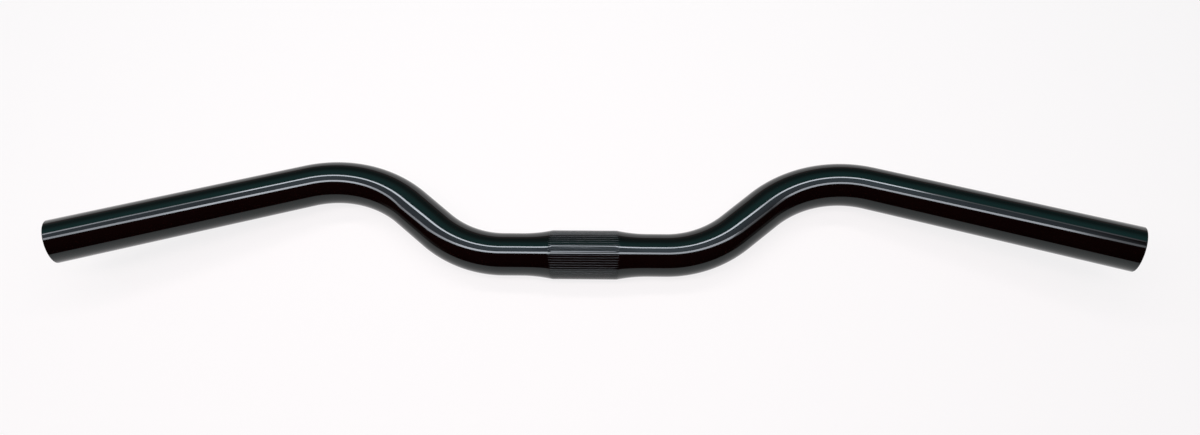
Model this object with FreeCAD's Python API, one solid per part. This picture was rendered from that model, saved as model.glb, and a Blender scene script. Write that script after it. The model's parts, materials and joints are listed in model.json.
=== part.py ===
"""A bicycle handlebar: one bent tube with a bulged, fluted clamp in its middle and plain open ends.

The origin is the middle of the clamp. X runs along the clamp, Y is the way the bar rises between the
clamp and the grips, and Z is the way the grips sweep out of the flat that the bar lies on.
"""
import FreeCAD, Part
import math
import os

from FreeCAD import Placement, Rotation, Vector

# The tube, in millimetres: grips and levers slide on its outside and end plugs go into its bore
TUBE_DIAMETER = 22.2
TUBE_WALL = 2.0

# The clamp in the middle, swollen to the stem's size: each side falls as a cone from a crisp shoulder,
# and a hollow curve that reaches FOOT_BLEND both ways from the cone's foot leads it into the tube
CLAMP_DIAMETER = 25.4
CLAMP_LENGTH = 33.0
CONE_LENGTH = 10.0
FOOT_BLEND = 6.0

# Fine V flutes rolled lengthwise into the clamp, so that it can't turn in the stem
FLUTE_COUNT = 60
FLUTE_WIDTH = 0.3
FLUTE_DEPTH = 0.25

# The bends of one side, from the clamp outwards, in millimetres and degrees
FOOT_TO_BEND = 9.5
BEND_RADIUS = 57.0
INNER_BEND_ANGLE = 39.5
BEND_TO_BEND = 20.0
OUTER_BEND_ANGLE = 58.5
SWEEP_ANGLE = 11.0

# The straight grip and the edges broken at its cut end
GRIP_LENGTH = 126.0
END_CHAMFER = 0.5

tube_radius = TUBE_DIAMETER / 2
bore_radius = tube_radius - TUBE_WALL
clamp_radius = CLAMP_DIAMETER / 2
clamp_end = CLAMP_LENGTH / 2
foot_end = clamp_end + CONE_LENGTH + FOOT_BLEND
centre_end = foot_end + FOOT_TO_BEND

ORIGIN = Vector(0, 0, 0)
ALONG = Vector(1, 0, 0)
BEND_AXIS = Vector(0, 0, 1)


def line(start, end):
    """A straight edge between two points of a profile."""
    return Part.LineSegment(Vector(*start), Vector(*end)).toShape()


def taper_edges(large_radius, small_radius):
    """The side of the bulge: a cone from the clamp's shoulder, and the hollow curve at its foot."""
    shoulder = Vector(clamp_end, large_radius, 0)
    foot = Vector(clamp_end + CONE_LENGTH, small_radius, 0)
    down_cone = (foot - shoulder).normalize()
    curve_start = foot - FOOT_BLEND * down_cone
    curve_end = foot + FOOT_BLEND * ALONG
    slope = math.atan2(shoulder.y - foot.y, CONE_LENGTH)
    curve_radius = FOOT_BLEND / math.tan(slope / 2)
    curve_centre = curve_end + Vector(0, curve_radius, 0)
    curve_middle = curve_centre + abs(curve_radius) * (foot - curve_centre).normalize()
    return [
        line(shoulder, curve_start),
        Part.Arc(curve_start, curve_middle, curve_end).toShape(),
    ]


def half_centre():
    """The straight tube from the clamp's mid-plane to the first bend, turned from its profile."""
    clamp_bore_radius = clamp_radius - TUBE_WALL
    edges = [line((0, clamp_radius), (clamp_end, clamp_radius))]
    edges += taper_edges(clamp_radius, tube_radius)
    edges.append(line((foot_end, tube_radius), (centre_end, tube_radius)))
    edges.append(line((centre_end, tube_radius), (centre_end, bore_radius)))
    edges.append(line((centre_end, bore_radius), (foot_end, bore_radius)))
    edges += taper_edges(clamp_bore_radius, bore_radius)
    edges.append(line((clamp_end, clamp_bore_radius), (0, clamp_bore_radius)))
    edges.append(line((0, clamp_bore_radius), (0, clamp_radius)))
    profile = Part.Wire(Part.__sortEdges__(edges))
    return Part.Face(profile).revolve(ORIGIN, ALONG, 360)


def mirrored(shape):
    """The same shape on the other side of the clamp."""
    return shape.mirror(ORIGIN, ALONG)


def flutes():
    """The ring of V cutters for the clamp's flutes, which run out by themselves on the cones.

    A cutter stands as far out of the clamp as it goes in, so it is twice as wide there as the flute.
    """
    inner_edge = clamp_radius - FLUTE_DEPTH
    outer_edge = clamp_radius + FLUTE_DEPTH
    cutter_end = clamp_end + CONE_LENGTH
    corners = [
        Vector(-cutter_end, inner_edge, 0),
        Vector(-cutter_end, outer_edge, FLUTE_WIDTH),
        Vector(-cutter_end, outer_edge, -FLUTE_WIDTH),
    ]
    section = Part.Face(Part.makePolygon(corners + corners[:1]))
    cutter = section.extrude(2 * cutter_end * ALONG)
    pitch = 360 / FLUTE_COUNT
    return [cutter.rotated(ORIGIN, ALONG, number * pitch) for number in range(FLUTE_COUNT)]


def ring():
    """The tube's section, square to X at the origin."""
    outside = Part.Wire(Part.makeCircle(tube_radius, ORIGIN, ALONG))
    inside = Part.Wire(Part.makeCircle(bore_radius, ORIGIN, ALONG))
    return Part.Face(outside).cut(Part.Face(inside)).Faces[0]


def grip():
    """The straight end of the tube along X, with both rims of its cut end chamfered."""
    chamfer_start = GRIP_LENGTH - END_CHAMFER
    corners = [
        Vector(0, bore_radius),
        Vector(0, tube_radius),
        Vector(chamfer_start, tube_radius),
        Vector(GRIP_LENGTH, tube_radius - END_CHAMFER),
        Vector(GRIP_LENGTH, bore_radius + END_CHAMFER),
        Vector(chamfer_start, bore_radius),
    ]
    profile = Part.makePolygon(corners + corners[:1])
    return Part.Face(profile).revolve(ORIGIN, ALONG, 360)


def bent_arm():
    """One side of the bar beyond its straight middle, as the tube is fed, bent, turned and bent again."""
    pieces = []
    place = Placement(Vector(centre_end, 0, 0), Rotation())

    def add(shape, step, turn):
        nonlocal place
        shape.Placement = place.multiply(shape.Placement)
        pieces.append(shape)
        place = place.multiply(Placement(step, turn))

    def bend(angle):
        centre = Vector(0, BEND_RADIUS, 0)
        turned = math.radians(angle)
        step = Vector(BEND_RADIUS * math.sin(turned), BEND_RADIUS * (1 - math.cos(turned)), 0)
        add(ring().revolve(centre, BEND_AXIS, angle), step, Rotation(BEND_AXIS, angle))

    bend(INNER_BEND_ANGLE)
    add(ring().extrude(BEND_TO_BEND * ALONG), BEND_TO_BEND * ALONG, Rotation(ALONG, 180 - SWEEP_ANGLE))
    bend(OUTER_BEND_ANGLE)
    add(grip(), GRIP_LENGTH * ALONG, Rotation())
    return pieces


def handlebar():
    """The whole bar as one solid."""
    right_middle = half_centre()
    middle = right_middle.fuse(mirrored(right_middle)).removeSplitter()
    fluted_middle = middle.cut(flutes())
    right_arm = bent_arm()
    left_arm = [mirrored(piece) for piece in right_arm]
    return fluted_middle.fuse(right_arm + left_arm).removeSplitter()


os.makedirs("parts", exist_ok=True)
handlebar().exportStep("parts/handlebar.step")
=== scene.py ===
"""The looks of a bicycle handlebar: a gloss black bent tube with a fluted clamp, on a pale floor."""
import json
import math

import bmesh
import bpy
from mathutils import Matrix, Vector


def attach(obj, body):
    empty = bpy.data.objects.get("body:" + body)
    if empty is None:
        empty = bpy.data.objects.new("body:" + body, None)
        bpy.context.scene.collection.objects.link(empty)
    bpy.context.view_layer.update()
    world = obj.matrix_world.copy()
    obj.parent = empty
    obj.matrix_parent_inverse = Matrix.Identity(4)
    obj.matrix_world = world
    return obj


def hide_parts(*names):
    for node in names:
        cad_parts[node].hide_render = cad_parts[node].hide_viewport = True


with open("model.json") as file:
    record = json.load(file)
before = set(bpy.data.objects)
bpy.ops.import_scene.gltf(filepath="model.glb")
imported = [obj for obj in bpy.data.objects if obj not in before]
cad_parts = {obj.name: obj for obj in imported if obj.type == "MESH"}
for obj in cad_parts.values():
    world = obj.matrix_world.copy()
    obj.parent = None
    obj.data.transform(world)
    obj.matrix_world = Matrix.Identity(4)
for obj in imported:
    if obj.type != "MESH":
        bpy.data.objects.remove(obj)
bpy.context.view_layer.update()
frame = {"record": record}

MM = 0.001

# The bar's diameters and lengths, from the record's mounts, in metres
mounts = {mount["name"]: mount for mount in frame["record"]["mounts"]}
CLAMP_RADIUS = mounts["stem_clamp"]["dims"]["r_mm"] * MM
CLAMP_HALF = mounts["stem_clamp"]["dims"]["length_mm"] * MM / 2
TUBE_RADIUS = mounts["right_grip"]["dims"]["r_mm"] * MM
BORE_RADIUS = mounts["right_end"]["dims"]["r_mm"] * MM
WALL = TUBE_RADIUS - BORE_RADIUS

# The cut ends: the grip's mount stops where the rounding of the rims starts
RIM_ROUND = 0.5 * MM
RIM_STEPS = 4
GRIP_LENGTH = mounts["right_grip"]["dims"]["length_mm"] * MM + RIM_ROUND

# The bulge: a cone from the clamp's softened shoulder, a hollow curve at its foot and a plain stretch
# to the first bend
CONE_LENGTH = 10.0 * MM
FOOT_BLEND = 6.0 * MM
FOOT_TO_BEND = 9.5 * MM
FOOT_STEPS = 8
SHOULDER_ROUND = 6.0 * MM
FOOT_END = CLAMP_HALF + CONE_LENGTH + FOOT_BLEND
CENTRE_END = FOOT_END + FOOT_TO_BEND

# The bends of one side, from the clamp outwards
BEND_RADIUS = 57.0 * MM
INNER_BEND_ANGLE = math.radians(39.5)
BEND_TO_BEND = 20.0 * MM
OUTER_BEND_ANGLE = math.radians(58.5)
SWEEP_ANGLE = math.radians(11.0)

# How finely the mesh is cut along the bends and round the tube, and what counts as one point
BEND_STEP = math.radians(1.5)
COLUMNS = 120
MERGE_DISTANCE = 0.001 * MM

# The flutes of the clamp, each a V whose lips the paint softens: half of its section between the bottom
# and the land, as distances to the side and depths
FLUTE_COUNT = 60
FLUTE_DEPTH = 0.25 * MM
FLUTE_WALL = [(0.10 * MM, 0.10 * MM), (0.14 * MM, 0.03 * MM), (0.18 * MM, 0.006 * MM), (0.23 * MM, 0)]

# The lean that tells the faces of a flute from the rest, and the room kept before and after its end
FLUTE_LEAN = math.radians(3)
RUN_OUT_SPACE = 0.5 * MM

CENTRE = Vector((0, 0, 0))
ALONG = Vector((1, 0, 0))
SIDEWAYS = Vector((0, 1, 0))
UP = Vector((0, 0, 1))

# The slots of the finishes after the first, which is the gloss paint
BARE = 1
FLUTED = 2

# The black paint: two shades that cloud into each other, its gloss, the duller flutes and its orange peel
PAINT_IOR = 1.45
PAINT_TINT = (0.85, 1.0, 1.0, 1)
PAINT_CLOUDS = {"Scale": 35.0, "Detail": 4.0}
PAINT_SHADES = {"Dark": (0.0024, 0.0006, 0.0005, 1), "Light": (0.0036, 0.0010, 0.0009, 1)}
GLOSSY_PAINT = {"Smoothest": 0.03, "Dullest": 0.08}
FLUTE_PAINT = {"Smoothest": 0.29, "Dullest": 0.34}
PEEL_SCALE = 420.0
PEEL_DETAIL = 1.0
PEEL_STRENGTH = 0.25
PEEL_HEIGHT = 0.01 * MM

# The bare inside of the tube
ALLOY_GRAIN = {"Scale": 300.0, "Detail": 6.0}
ALLOY_SHADES = {"Dark": (0.30, 0.29, 0.28, 1), "Light": (0.52, 0.51, 0.50, 1)}
DRAWN_ALLOY = {"Smoothest": 0.35, "Dullest": 0.6}

# The camera, placed as the photograph was taken, in metres and degrees
PHOTO_WIDTH = 1200
FOCAL_PIXELS = 816.4
SENSOR_WIDTH = 36.0
CLIP_START = 0.01
CAMERA_PLACE = (0.0236, -0.1294, 0.4044)
CAMERA_TILT = 20.36
CAMERA_PAN = 2.27
CAMERA_ROLL = 1.13

# The studio: a pale floor that the clamp touches, which glows white by a share, and soft lamps overhead
FLOOR_SIZE = 60.0
FLOOR_COLOUR = (0.84, 0.79, 0.72, 1)
FLOOR_WHITE = (0.99, 0.97, 0.98, 1)
FLOOR_GLOW = 0.85
LAMP_HEIGHT = 0.45
LAMP_STEPS = 16
LAMP_WHITE = (1.05, 0.96, 1.05, 1)
LAMP_BLUE = (0.80, 0.92, 1.08, 1)

# The room by direction, where Y is the far side and Z is up: its blue-green comes in over FAR_SIDE and
# gains strength over OVERHEAD, and the grey wall comes in over BESIDE and gives way over WALL_TOP
ROOM_TEAL = (0.22, 1.0, 1.0, 1)
ROOM_STRENGTH = (0.15, 0.52)
FAR_SIDE = (-0.35, 0.25)
OVERHEAD = (0.45, 0.85)
WALL_GREY = (0.20, 0.20, 0.20, 1)
BESIDE = (-0.75, -0.45)
WALL_TOP = (0.16, 0.30)


def linked(tree, source, target):
    """Joins one socket to another in a node tree."""
    tree.links.new(source, target)


def added(tree, kind, **settings):
    """A new node with its settings."""
    node = tree.nodes.new(kind)
    for name, value in settings.items():
        setattr(node, name, value)
    return node


def computed(tree, operation, first, second):
    """The result of a Math node on two values, each a socket or a plain number."""
    node = added(tree, "ShaderNodeMath", operation=operation)
    for socket, value in zip(node.inputs, (first, second)):
        if isinstance(value, bpy.types.NodeSocket):
            linked(tree, value, socket)
        else:
            socket.default_value = value
    return node.outputs["Value"]


def ranged(tree, value, span, result=(0, 1), interpolation="LINEAR"):
    """A value that goes from one end of a result to the other while another crosses a span."""
    node = added(tree, "ShaderNodeMapRange", interpolation_type=interpolation)
    for name, number in zip(("From Min", "From Max", "To Min", "To Max"), (*span, *result)):
        node.inputs[name].default_value = number
    linked(tree, value, node.inputs["Value"])
    return node.outputs["Result"]


def mixed(tree, share, first, second):
    """One shader that gives way to another by a share."""
    node = added(tree, "ShaderNodeMixShader")
    linked(tree, share, node.inputs["Fac"])
    linked(tree, first, node.inputs[1])
    linked(tree, second, node.inputs[2])
    return node.outputs["Shader"]


def new_ring(grown):
    """The edges of the ring at the free end of what was just extruded."""
    points = {item for item in grown if isinstance(item, bmesh.types.BMVert)}
    edges = [item for item in grown if isinstance(item, bmesh.types.BMEdge)]
    return [edge for edge in edges if points.issuperset(edge.verts)]


def ring_points(ring):
    """The vertices of a ring of edges, each once, in the order of the edges."""
    return list(dict.fromkeys(point for edge in ring for point in edge.verts))


def lengthened(mesh, ring, step):
    """Extrudes a ring along a straight step and gives the new ring."""
    ring = new_ring(bmesh.ops.extrude_edge_only(mesh, edges=ring)["geom"])
    bmesh.ops.translate(mesh, verts=ring_points(ring), vec=step)
    return ring


def turned(mesh, profile, ring):
    """Extrudes a ring about the clamp's axis through stations of distance along it and radius."""
    (place, radius), stations = profile[0], profile[1:]
    for next_place, next_radius in stations:
        ring = lengthened(mesh, ring, (next_place - place) * ALONG)
        ratio = next_radius / radius
        bmesh.ops.scale(mesh, verts=ring_points(ring), vec=(1, ratio, ratio))
        place, radius = next_place, next_radius
    return ring


def foot_profile(large_radius, small_radius):
    """Stations of the hollow curve from the cone to the tube, and of the plain stretch after it."""
    slope = math.atan2(large_radius - small_radius, CONE_LENGTH)
    curve_radius = FOOT_BLEND / math.tan(slope / 2)
    stations = []
    for step in range(FOOT_STEPS + 1):
        angle = slope * (1 - step / FOOT_STEPS)
        place = FOOT_END - curve_radius * math.sin(angle)
        stations.append((place, small_radius + curve_radius * (1 - math.cos(angle))))
    return stations + [(CENTRE_END, small_radius)]


def cone_radius(place):
    """The outside radius of the cone at a distance from the clamp's middle."""
    fall = (CLAMP_RADIUS - TUBE_RADIUS) / CONE_LENGTH
    return CLAMP_RADIUS - fall * (place - CLAMP_HALF)


def circle(mesh, place, radius):
    """A ring of edges round the clamp's axis."""
    across = Matrix.Translation(place * ALONG) @ Matrix.Rotation(math.pi / 2, 4, "Y")
    made = bmesh.ops.create_circle(mesh, segments=COLUMNS, radius=radius, matrix=across)
    points = set(made["verts"])
    return [edge for edge in mesh.edges if points.issuperset(edge.verts)]


def fluted_ring(mesh):
    """The clamp's section at its middle: one flute and half a land on each side of it, repeated round."""
    half_pitch = math.pi / FLUTE_COUNT
    wall = [(side / CLAMP_RADIUS, CLAMP_RADIUS - depth) for side, depth in FLUTE_WALL]
    half_flute = [(0, CLAMP_RADIUS - FLUTE_DEPTH)] + wall + [(half_pitch, CLAMP_RADIUS)]
    other_half = [(-angle, radius) for angle, radius in reversed(half_flute[1:])]
    points = []
    for angle, radius in other_half + half_flute:
        points.append(mesh.verts.new((0, radius * math.cos(angle), radius * math.sin(angle))))
    edges = [mesh.edges.new(pair) for pair in zip(points, points[1:])]
    copies = FLUTE_COUNT - 1
    bmesh.ops.spin(mesh, geom=points + edges, cent=CENTRE, axis=ALONG, angle=2 * half_pitch * copies,
                   steps=copies, use_duplicate=True)
    bmesh.ops.remove_doubles(mesh, verts=mesh.verts, dist=MERGE_DISTANCE)
    return list(mesh.edges)


def trimmed(mesh, ring, limit):
    """Brings the points of a ring that stand out past a radius down to it."""
    for point in ring_points(ring):
        radius = math.hypot(point.co.y, point.co.z)
        ratio = min(1, limit / radius)
        bmesh.ops.scale(mesh, verts=[point], vec=(1, ratio, ratio))


def clamp_skin(mesh):
    """The fluted outside of half the clamp, up to a plain ring on the cone past the flutes' ends."""
    slope = math.atan2(CLAMP_RADIUS - TUBE_RADIUS, CONE_LENGTH)
    round_reach = SHOULDER_ROUND * math.tan(slope / 2)
    round_drop = SHOULDER_ROUND * (1 / math.cos(slope / 2) - 1)
    run_out = CLAMP_HALF + FLUTE_DEPTH / math.tan(slope)
    stations = [
        (CLAMP_HALF - round_reach, CLAMP_RADIUS),
        (CLAMP_HALF, CLAMP_RADIUS - round_drop),
        (CLAMP_HALF + round_reach, cone_radius(CLAMP_HALF + round_reach)),
        (run_out - RUN_OUT_SPACE, cone_radius(run_out - RUN_OUT_SPACE)),
        (run_out, cone_radius(run_out)),
    ]
    ring = fluted_ring(mesh)
    place = 0
    for next_place, limit in stations:
        ring = lengthened(mesh, ring, (next_place - place) * ALONG)
        trimmed(mesh, ring, limit)
        place = next_place
    start = run_out + RUN_OUT_SPACE
    plain_ring = circle(mesh, start, cone_radius(start))
    bmesh.ops.bridge_loops(mesh, edges=ring + plain_ring)
    return plain_ring


def in_flutes(mesh):
    """The faces of the flutes, which lean to one side, as the lands and the cones don't."""
    mesh.normal_update()
    leaning = []
    for face in mesh.faces:
        outward = face.calc_center_median().yz
        if abs(face.normal.yz.normalized().dot(outward.normalized())) < math.cos(FLUTE_LEAN):
            leaning.append(face)
    return leaning


def taper_foot(mesh, ring):
    """Takes the plain ring on the cone down to the tube and up to the first bend."""
    start = ring[0].verts[0].co.x
    return turned(mesh, [(start, cone_radius(start))] + foot_profile(CLAMP_RADIUS, TUBE_RADIUS), ring)


def clamp_bore(mesh):
    """The inside of half the clamp, which follows the bulge at the tube's own wall."""
    large_radius = CLAMP_RADIUS - WALL
    profile = [(0, large_radius), (CLAMP_HALF, large_radius)] + foot_profile(large_radius, BORE_RADIUS)
    return turned(mesh, profile, circle(mesh, 0, large_radius))


def bent_arm(mesh, ring):
    """Takes a ring from the centre's end to the cut end: bent, fed, turned, bent the other way and fed."""
    place = Matrix.Translation(CENTRE_END * ALONG)

    def fed(ring, length):
        nonlocal place
        step = place.to_3x3() @ (length * ALONG)
        place = place @ Matrix.Translation(length * ALONG)
        return lengthened(mesh, ring, step)

    def bent(ring, angle):
        nonlocal place
        about = Matrix.Translation(BEND_RADIUS * SIDEWAYS)
        spun = bmesh.ops.spin(mesh, geom=ring + ring_points(ring), cent=(place @ about).translation,
                              axis=place.to_3x3() @ UP, angle=angle, steps=round(angle / BEND_STEP))
        place = place @ about @ Matrix.Rotation(angle, 4, UP) @ about.inverted()
        return new_ring(spun["geom_last"])

    ring = bent(ring, INNER_BEND_ANGLE)
    ring = fed(ring, BEND_TO_BEND)
    place = place @ Matrix.Rotation(math.pi - SWEEP_ANGLE, 4, ALONG)
    ring = bent(ring, OUTER_BEND_ANGLE)
    return fed(ring, GRIP_LENGTH)


def put_in_order(elements, place):
    """Numbers points or faces by their places, so that each run writes the same lists."""
    for index, element in enumerate(sorted(elements, key=place)):
        element.index = index
    elements.sort()


def tube_mesh():
    """The whole wall of the bar: painted outside and cut ends, bare bore inside."""
    mesh = bmesh.new()
    plain_ring = clamp_skin(mesh)
    fluted = in_flutes(mesh)
    outer_rim = bent_arm(mesh, taper_foot(mesh, plain_ring))
    painted = set(mesh.faces)
    inner_rim = bent_arm(mesh, clamp_bore(mesh))
    for face in fluted:
        face.material_index = FLUTED
    for face in set(mesh.faces) - painted:
        face.material_index = BARE
    bmesh.ops.bridge_loops(mesh, edges=outer_rim + inner_rim)
    bmesh.ops.bevel(mesh, geom=outer_rim + inner_rim, offset=RIM_ROUND, offset_type="OFFSET",
                    segments=RIM_STEPS, profile=0.5, affect="EDGES", material=-1)
    everything = list(mesh.verts) + list(mesh.edges) + list(mesh.faces)
    bmesh.ops.mirror(mesh, geom=everything, axis="X", merge_dist=MERGE_DISTANCE)
    bmesh.ops.recalc_face_normals(mesh, faces=mesh.faces)
    for face in mesh.faces:
        face.smooth = True
    put_in_order(mesh.verts, lambda point: tuple(point.co))
    put_in_order(mesh.faces, lambda face: tuple(face.calc_center_median()))
    return mesh


def node_group(name, inputs, outputs):
    """A shader node group with named sockets of a kind each, and the sockets at its two ends."""
    group = bpy.data.node_groups.new(name, "ShaderNodeTree")
    for way, sockets in (("INPUT", inputs), ("OUTPUT", outputs)):
        for socket, kind in sockets.items():
            group.interface.new_socket(socket, in_out=way, socket_type="NodeSocket" + kind)
    return group, added(group, "NodeGroupInput").outputs, added(group, "NodeGroupOutput").inputs


def uneven_surface():
    """The group that clouds a surface: its colour between two shades, its dullness between two values."""
    inputs = {"Place": "Vector", "Scale": "Float", "Detail": "Float", "Dark": "Color", "Light": "Color",
              "Smoothest": "Float", "Dullest": "Float"}
    group, given, made = node_group("uneven_surface", inputs, {"Color": "Color", "Roughness": "Float"})
    clouds = added(group, "ShaderNodeTexNoise")
    linked(group, given["Place"], clouds.inputs["Vector"])
    linked(group, given["Scale"], clouds.inputs["Scale"])
    linked(group, given["Detail"], clouds.inputs["Detail"])
    shade = added(group, "ShaderNodeMix", data_type="RGBA")
    linked(group, clouds.outputs["Fac"], shade.inputs["Factor"])
    linked(group, given["Dark"], shade.inputs["A"])
    linked(group, given["Light"], shade.inputs["B"])
    linked(group, shade.outputs["Result"], made["Color"])
    dullness = added(group, "ShaderNodeMapRange")
    linked(group, clouds.outputs["Fac"], dullness.inputs["Value"])
    linked(group, given["Smoothest"], dullness.inputs["To Min"])
    linked(group, given["Dullest"], dullness.inputs["To Max"])
    linked(group, dullness.outputs["Result"], made["Roughness"])
    return group


def orange_peel():
    """The group that gives the faint orange peel of sprayed paint."""
    group, given, made = node_group("orange_peel", {"Place": "Vector"}, {"Normal": "Vector"})
    dimples = added(group, "ShaderNodeTexNoise")
    dimples.inputs["Scale"].default_value = PEEL_SCALE
    dimples.inputs["Detail"].default_value = PEEL_DETAIL
    linked(group, given["Place"], dimples.inputs["Vector"])
    skin = added(group, "ShaderNodeBump")
    skin.inputs["Strength"].default_value = PEEL_STRENGTH
    skin.inputs["Distance"].default_value = PEEL_HEIGHT
    linked(group, dimples.outputs["Fac"], skin.inputs["Height"])
    linked(group, skin.outputs["Normal"], made["Normal"])
    return group


def clouded(name, surface, values):
    """A material with the uneven surface, and its tree, its shader and the place its patterns read."""
    material = bpy.data.materials.new(name)
    material.use_nodes = True
    tree = material.node_tree
    shader = tree.nodes["Principled BSDF"]
    place = added(tree, "ShaderNodeTexCoord").outputs["Object"]
    uneven = added(tree, "ShaderNodeGroup", node_tree=surface)
    for socket, value in values.items():
        uneven.inputs[socket].default_value = value
    linked(tree, place, uneven.inputs["Place"])
    linked(tree, uneven.outputs["Color"], shader.inputs["Base Color"])
    linked(tree, uneven.outputs["Roughness"], shader.inputs["Roughness"])
    return material, tree, shader, place


def black_paint(name, surface, peel, gloss):
    """Stoved black: a warm near-black under a clear skin with a faint orange peel."""
    material, tree, shader, place = clouded(name, surface, {**PAINT_CLOUDS, **PAINT_SHADES, **gloss})
    shader.inputs["IOR"].default_value = PAINT_IOR
    shader.inputs["Specular Tint"].default_value = PAINT_TINT
    skin = added(tree, "ShaderNodeGroup", node_tree=peel)
    linked(tree, place, skin.inputs["Place"])
    linked(tree, skin.outputs["Normal"], shader.inputs["Normal"])
    return material


def bare_bore(surface):
    """The unpainted inside of the tube: dull drawn alloy."""
    values = {**ALLOY_GRAIN, **ALLOY_SHADES, **DRAWN_ALLOY}
    material, _, shader, _ = clouded("bare_bore", surface, values)
    shader.inputs["Metallic"].default_value = 1.0
    return material


def bent_tube():
    """The bar's one piece, which stands for the plain solid."""
    data = bpy.data.meshes.new("bent_tube")
    mesh = tube_mesh()
    mesh.to_mesh(data)
    mesh.free()
    surface = uneven_surface()
    peel = orange_peel()
    data.materials.append(black_paint("gloss_black_paint", surface, peel, GLOSSY_PAINT))
    data.materials.append(bare_bore(surface))
    data.materials.append(black_paint("fluted_black_paint", surface, peel, FLUTE_PAINT))
    piece = bpy.data.objects.new("bent_tube", data)
    bpy.context.scene.collection.objects.link(piece)
    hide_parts("handlebar")
    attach(piece, "root")


def staged(name, mesh):
    """An object of the studio, which is no part of the bar."""
    data = bpy.data.meshes.new(name)
    mesh.to_mesh(data)
    mesh.free()
    thing = bpy.data.objects.new(name, data)
    bpy.context.scene.collection.objects.link(thing)
    return thing


def sheet(width, depth, columns):
    """The mesh of a flat sheet at the origin, facing up."""
    mesh = bmesh.new()
    bmesh.ops.create_grid(mesh, x_segments=columns, y_segments=1, size=1)
    bmesh.ops.scale(mesh, verts=mesh.verts, vec=(width / 2, depth / 2, 1))
    return mesh


def studio_material(name):
    """A new material whose tree holds only the output, and that tree."""
    material = bpy.data.materials.new(name)
    material.use_nodes = True
    tree = material.node_tree
    tree.nodes.remove(tree.nodes["Principled BSDF"])
    return material, tree


def coordinates(tree, source):
    """The X, Y and Z of a texture coordinate."""
    parts = added(tree, "ShaderNodeSeparateXYZ")
    linked(tree, added(tree, "ShaderNodeTexCoord").outputs[source], parts.inputs["Vector"])
    return parts.outputs


def pale_floor():
    """A pale floor that shows as white, also in reflections, and keeps part of the bar's shadow."""
    floor = staged("floor", sheet(FLOOR_SIZE, FLOOR_SIZE, 1))
    floor.location = (0, 0, -CLAMP_RADIUS)
    material, tree = studio_material("pale_floor")
    matt = added(tree, "ShaderNodeBsdfDiffuse")
    matt.inputs["Color"].default_value = FLOOR_COLOUR
    white = added(tree, "ShaderNodeEmission")
    white.inputs["Color"].default_value = FLOOR_WHITE
    path = added(tree, "ShaderNodeLightPath").outputs
    seen = computed(tree, "MAXIMUM", path["Is Camera Ray"], path["Is Glossy Ray"])
    seen = computed(tree, "MAXIMUM", seen, path["Is Transmission Ray"])
    share = computed(tree, "MULTIPLY", seen, FLOOR_GLOW)
    surface = mixed(tree, share, matt.outputs["BSDF"], white.outputs["Emission"])
    linked(tree, surface, tree.nodes["Material Output"].inputs["Surface"])
    floor.data.materials.append(material)


def lamp_sheet(first, last, middle, width, bow):
    """The mesh of a lamp from first to last along X, facing down, its ends bowed towards the camera."""
    mesh = sheet(last - first, width, LAMP_STEPS)
    bmesh.ops.translate(mesh, verts=mesh.verts, vec=((first + last) / 2, middle, LAMP_HEIGHT))
    for point in mesh.verts:
        point.co.y -= bow * point.co.x ** 2
    bmesh.ops.reverse_faces(mesh, faces=mesh.faces)
    return mesh


def glow_shares(tree, first, last, glow):
    """The share of a lamp's strength along X, eased from one of its glow's stops to the next."""
    ramp = added(tree, "ShaderNodeValToRGB")
    ramp.color_ramp.interpolation = "EASE"
    stops = ramp.color_ramp.elements
    for _ in glow[2:]:
        stops.new(1.0)
    for stop, (place, share) in zip(stops, glow):
        stop.position = (place - first) / (last - first)
        stop.color = (share, share, share, 1)
    along = ranged(tree, coordinates(tree, "Object")["X"], (first, last))
    linked(tree, along, ramp.inputs["Fac"])
    return ramp.outputs["Color"]


def soft_lamp(name, middle, width, bow, colour, strength, glow):
    """A long lamp over the bar, with its middle at a place along Y, that shines only downwards.

    Its glow gives shares of its strength at places along X, from end to end.
    """
    first, last = glow[0][0], glow[-1][0]
    lamp = staged(name, lamp_sheet(first, last, middle, width, bow))
    lamp.visible_camera = False
    material, tree = studio_material(name)
    front = computed(tree, "SUBTRACT", 1.0, added(tree, "ShaderNodeNewGeometry").outputs["Backfacing"])
    facing_down = computed(tree, "MULTIPLY", front, strength)
    light = added(tree, "ShaderNodeEmission")
    light.inputs["Color"].default_value = colour
    level = computed(tree, "MULTIPLY", glow_shares(tree, first, last, glow), facing_down)
    linked(tree, level, light.inputs["Strength"])
    linked(tree, light.outputs["Emission"], tree.nodes["Material Output"].inputs["Surface"])
    lamp.data.materials.append(material)


def studio_lamps():
    """Two bright strips along the bar, one before and one past overhead, and a dim panel between them."""
    soft_lamp("far_strip", middle=0.19, width=0.05, bow=0.42, colour=LAMP_WHITE, strength=17.0, glow=[
        (-0.62, 0), (-0.50, 0.45), (-0.30, 0.3), (-0.235, 1), (0.16, 1), (0.215, 0.2), (0.26, 0.1),
        (0.40, 0.1), (0.50, 0)])
    soft_lamp("near_strip", middle=-0.058, width=0.07, bow=0.15, colour=LAMP_WHITE, strength=13.2, glow=[
        (-0.75, 0), (-0.60, 0.35), (-0.45, 0.5), (-0.32, 0.65), (-0.21, 1), (-0.08, 1), (0.03, 0.75),
        (0.16, 0.8), (0.285, 0.72), (0.34, 0.2), (0.40, 0.15), (0.50, 0)])
    soft_lamp("dim_panel", middle=0.07, width=0.14, bow=0.3, colour=LAMP_BLUE, strength=1.55, glow=[
        (-0.70, 0), (-0.45, 0.6), (-0.25, 0.6), (-0.10, 0.9), (0.05, 1), (0.14, 0.8), (0.22, 0.6),
        (0.30, 0.5), (0.45, 0)])


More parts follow.
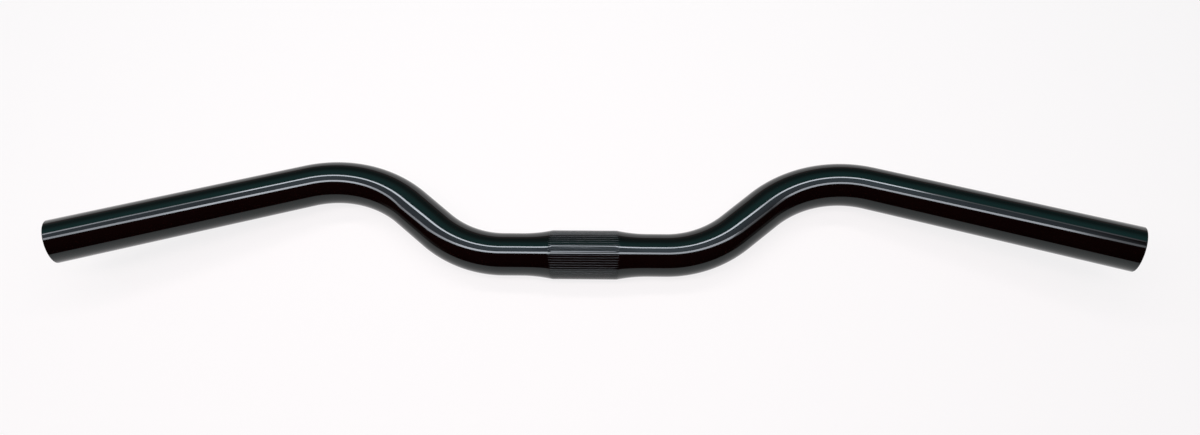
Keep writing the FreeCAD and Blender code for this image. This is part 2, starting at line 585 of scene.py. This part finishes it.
def studio_world():
    """A dim room: blue-green on the far side and dark behind the camera, with a grey wall low down.

    Below the horizon it goes on as the floor does.
    """
    world = bpy.data.worlds.new("studio_world")
    bpy.context.scene.world = world
    world.use_nodes = True
    tree = world.node_tree
    direction = coordinates(tree, "Generated")
    depth, height = direction["Y"], direction["Z"]

    room = tree.nodes["Background"]
    room.inputs["Color"].default_value = ROOM_TEAL
    far_side = ranged(tree, depth, FAR_SIDE, interpolation="SMOOTHSTEP")
    overhead = ranged(tree, height, OVERHEAD, ROOM_STRENGTH, interpolation="SMOOTHSTEP")
    linked(tree, computed(tree, "MULTIPLY", far_side, overhead), room.inputs["Strength"])

    wall = added(tree, "ShaderNodeBackground")
    wall.inputs["Color"].default_value = WALL_GREY
    beside = ranged(tree, depth, BESIDE, interpolation="SMOOTHSTEP")
    low = ranged(tree, height, WALL_TOP, (1, 0), interpolation="SMOOTHSTEP")
    walled = computed(tree, "MULTIPLY", beside, low)
    upper = mixed(tree, walled, room.outputs["Background"], wall.outputs["Background"])

    ground = added(tree, "ShaderNodeBackground")
    ground.inputs["Color"].default_value = FLOOR_WHITE
    ground.inputs["Strength"].default_value = FLOOR_GLOW
    below = computed(tree, "LESS_THAN", height, 0)
    whole = mixed(tree, below, upper, ground.outputs["Background"])
    linked(tree, whole, tree.nodes["World Output"].inputs["Surface"])


def photo_camera():
    """The camera at the photograph's place and angle."""
    data = bpy.data.cameras.new("camera")
    data.sensor_width = SENSOR_WIDTH
    data.lens = SENSOR_WIDTH * FOCAL_PIXELS / PHOTO_WIDTH
    data.clip_start = CLIP_START
    camera = bpy.data.objects.new("camera", data)
    bpy.context.scene.collection.objects.link(camera)
    pan = Matrix.Rotation(math.radians(CAMERA_PAN), 4, "Y")
    tilt = Matrix.Rotation(math.radians(CAMERA_TILT), 4, "X")
    roll = Matrix.Rotation(math.radians(CAMERA_ROLL), 4, "Z")
    camera.matrix_world = Matrix.Translation(CAMERA_PLACE) @ pan @ tilt @ roll
    bpy.context.scene.camera = camera


bent_tube()
pale_floor()
studio_lamps()
studio_world()
photo_camera()
bpy.context.scene.view_settings.view_transform = "Standard"
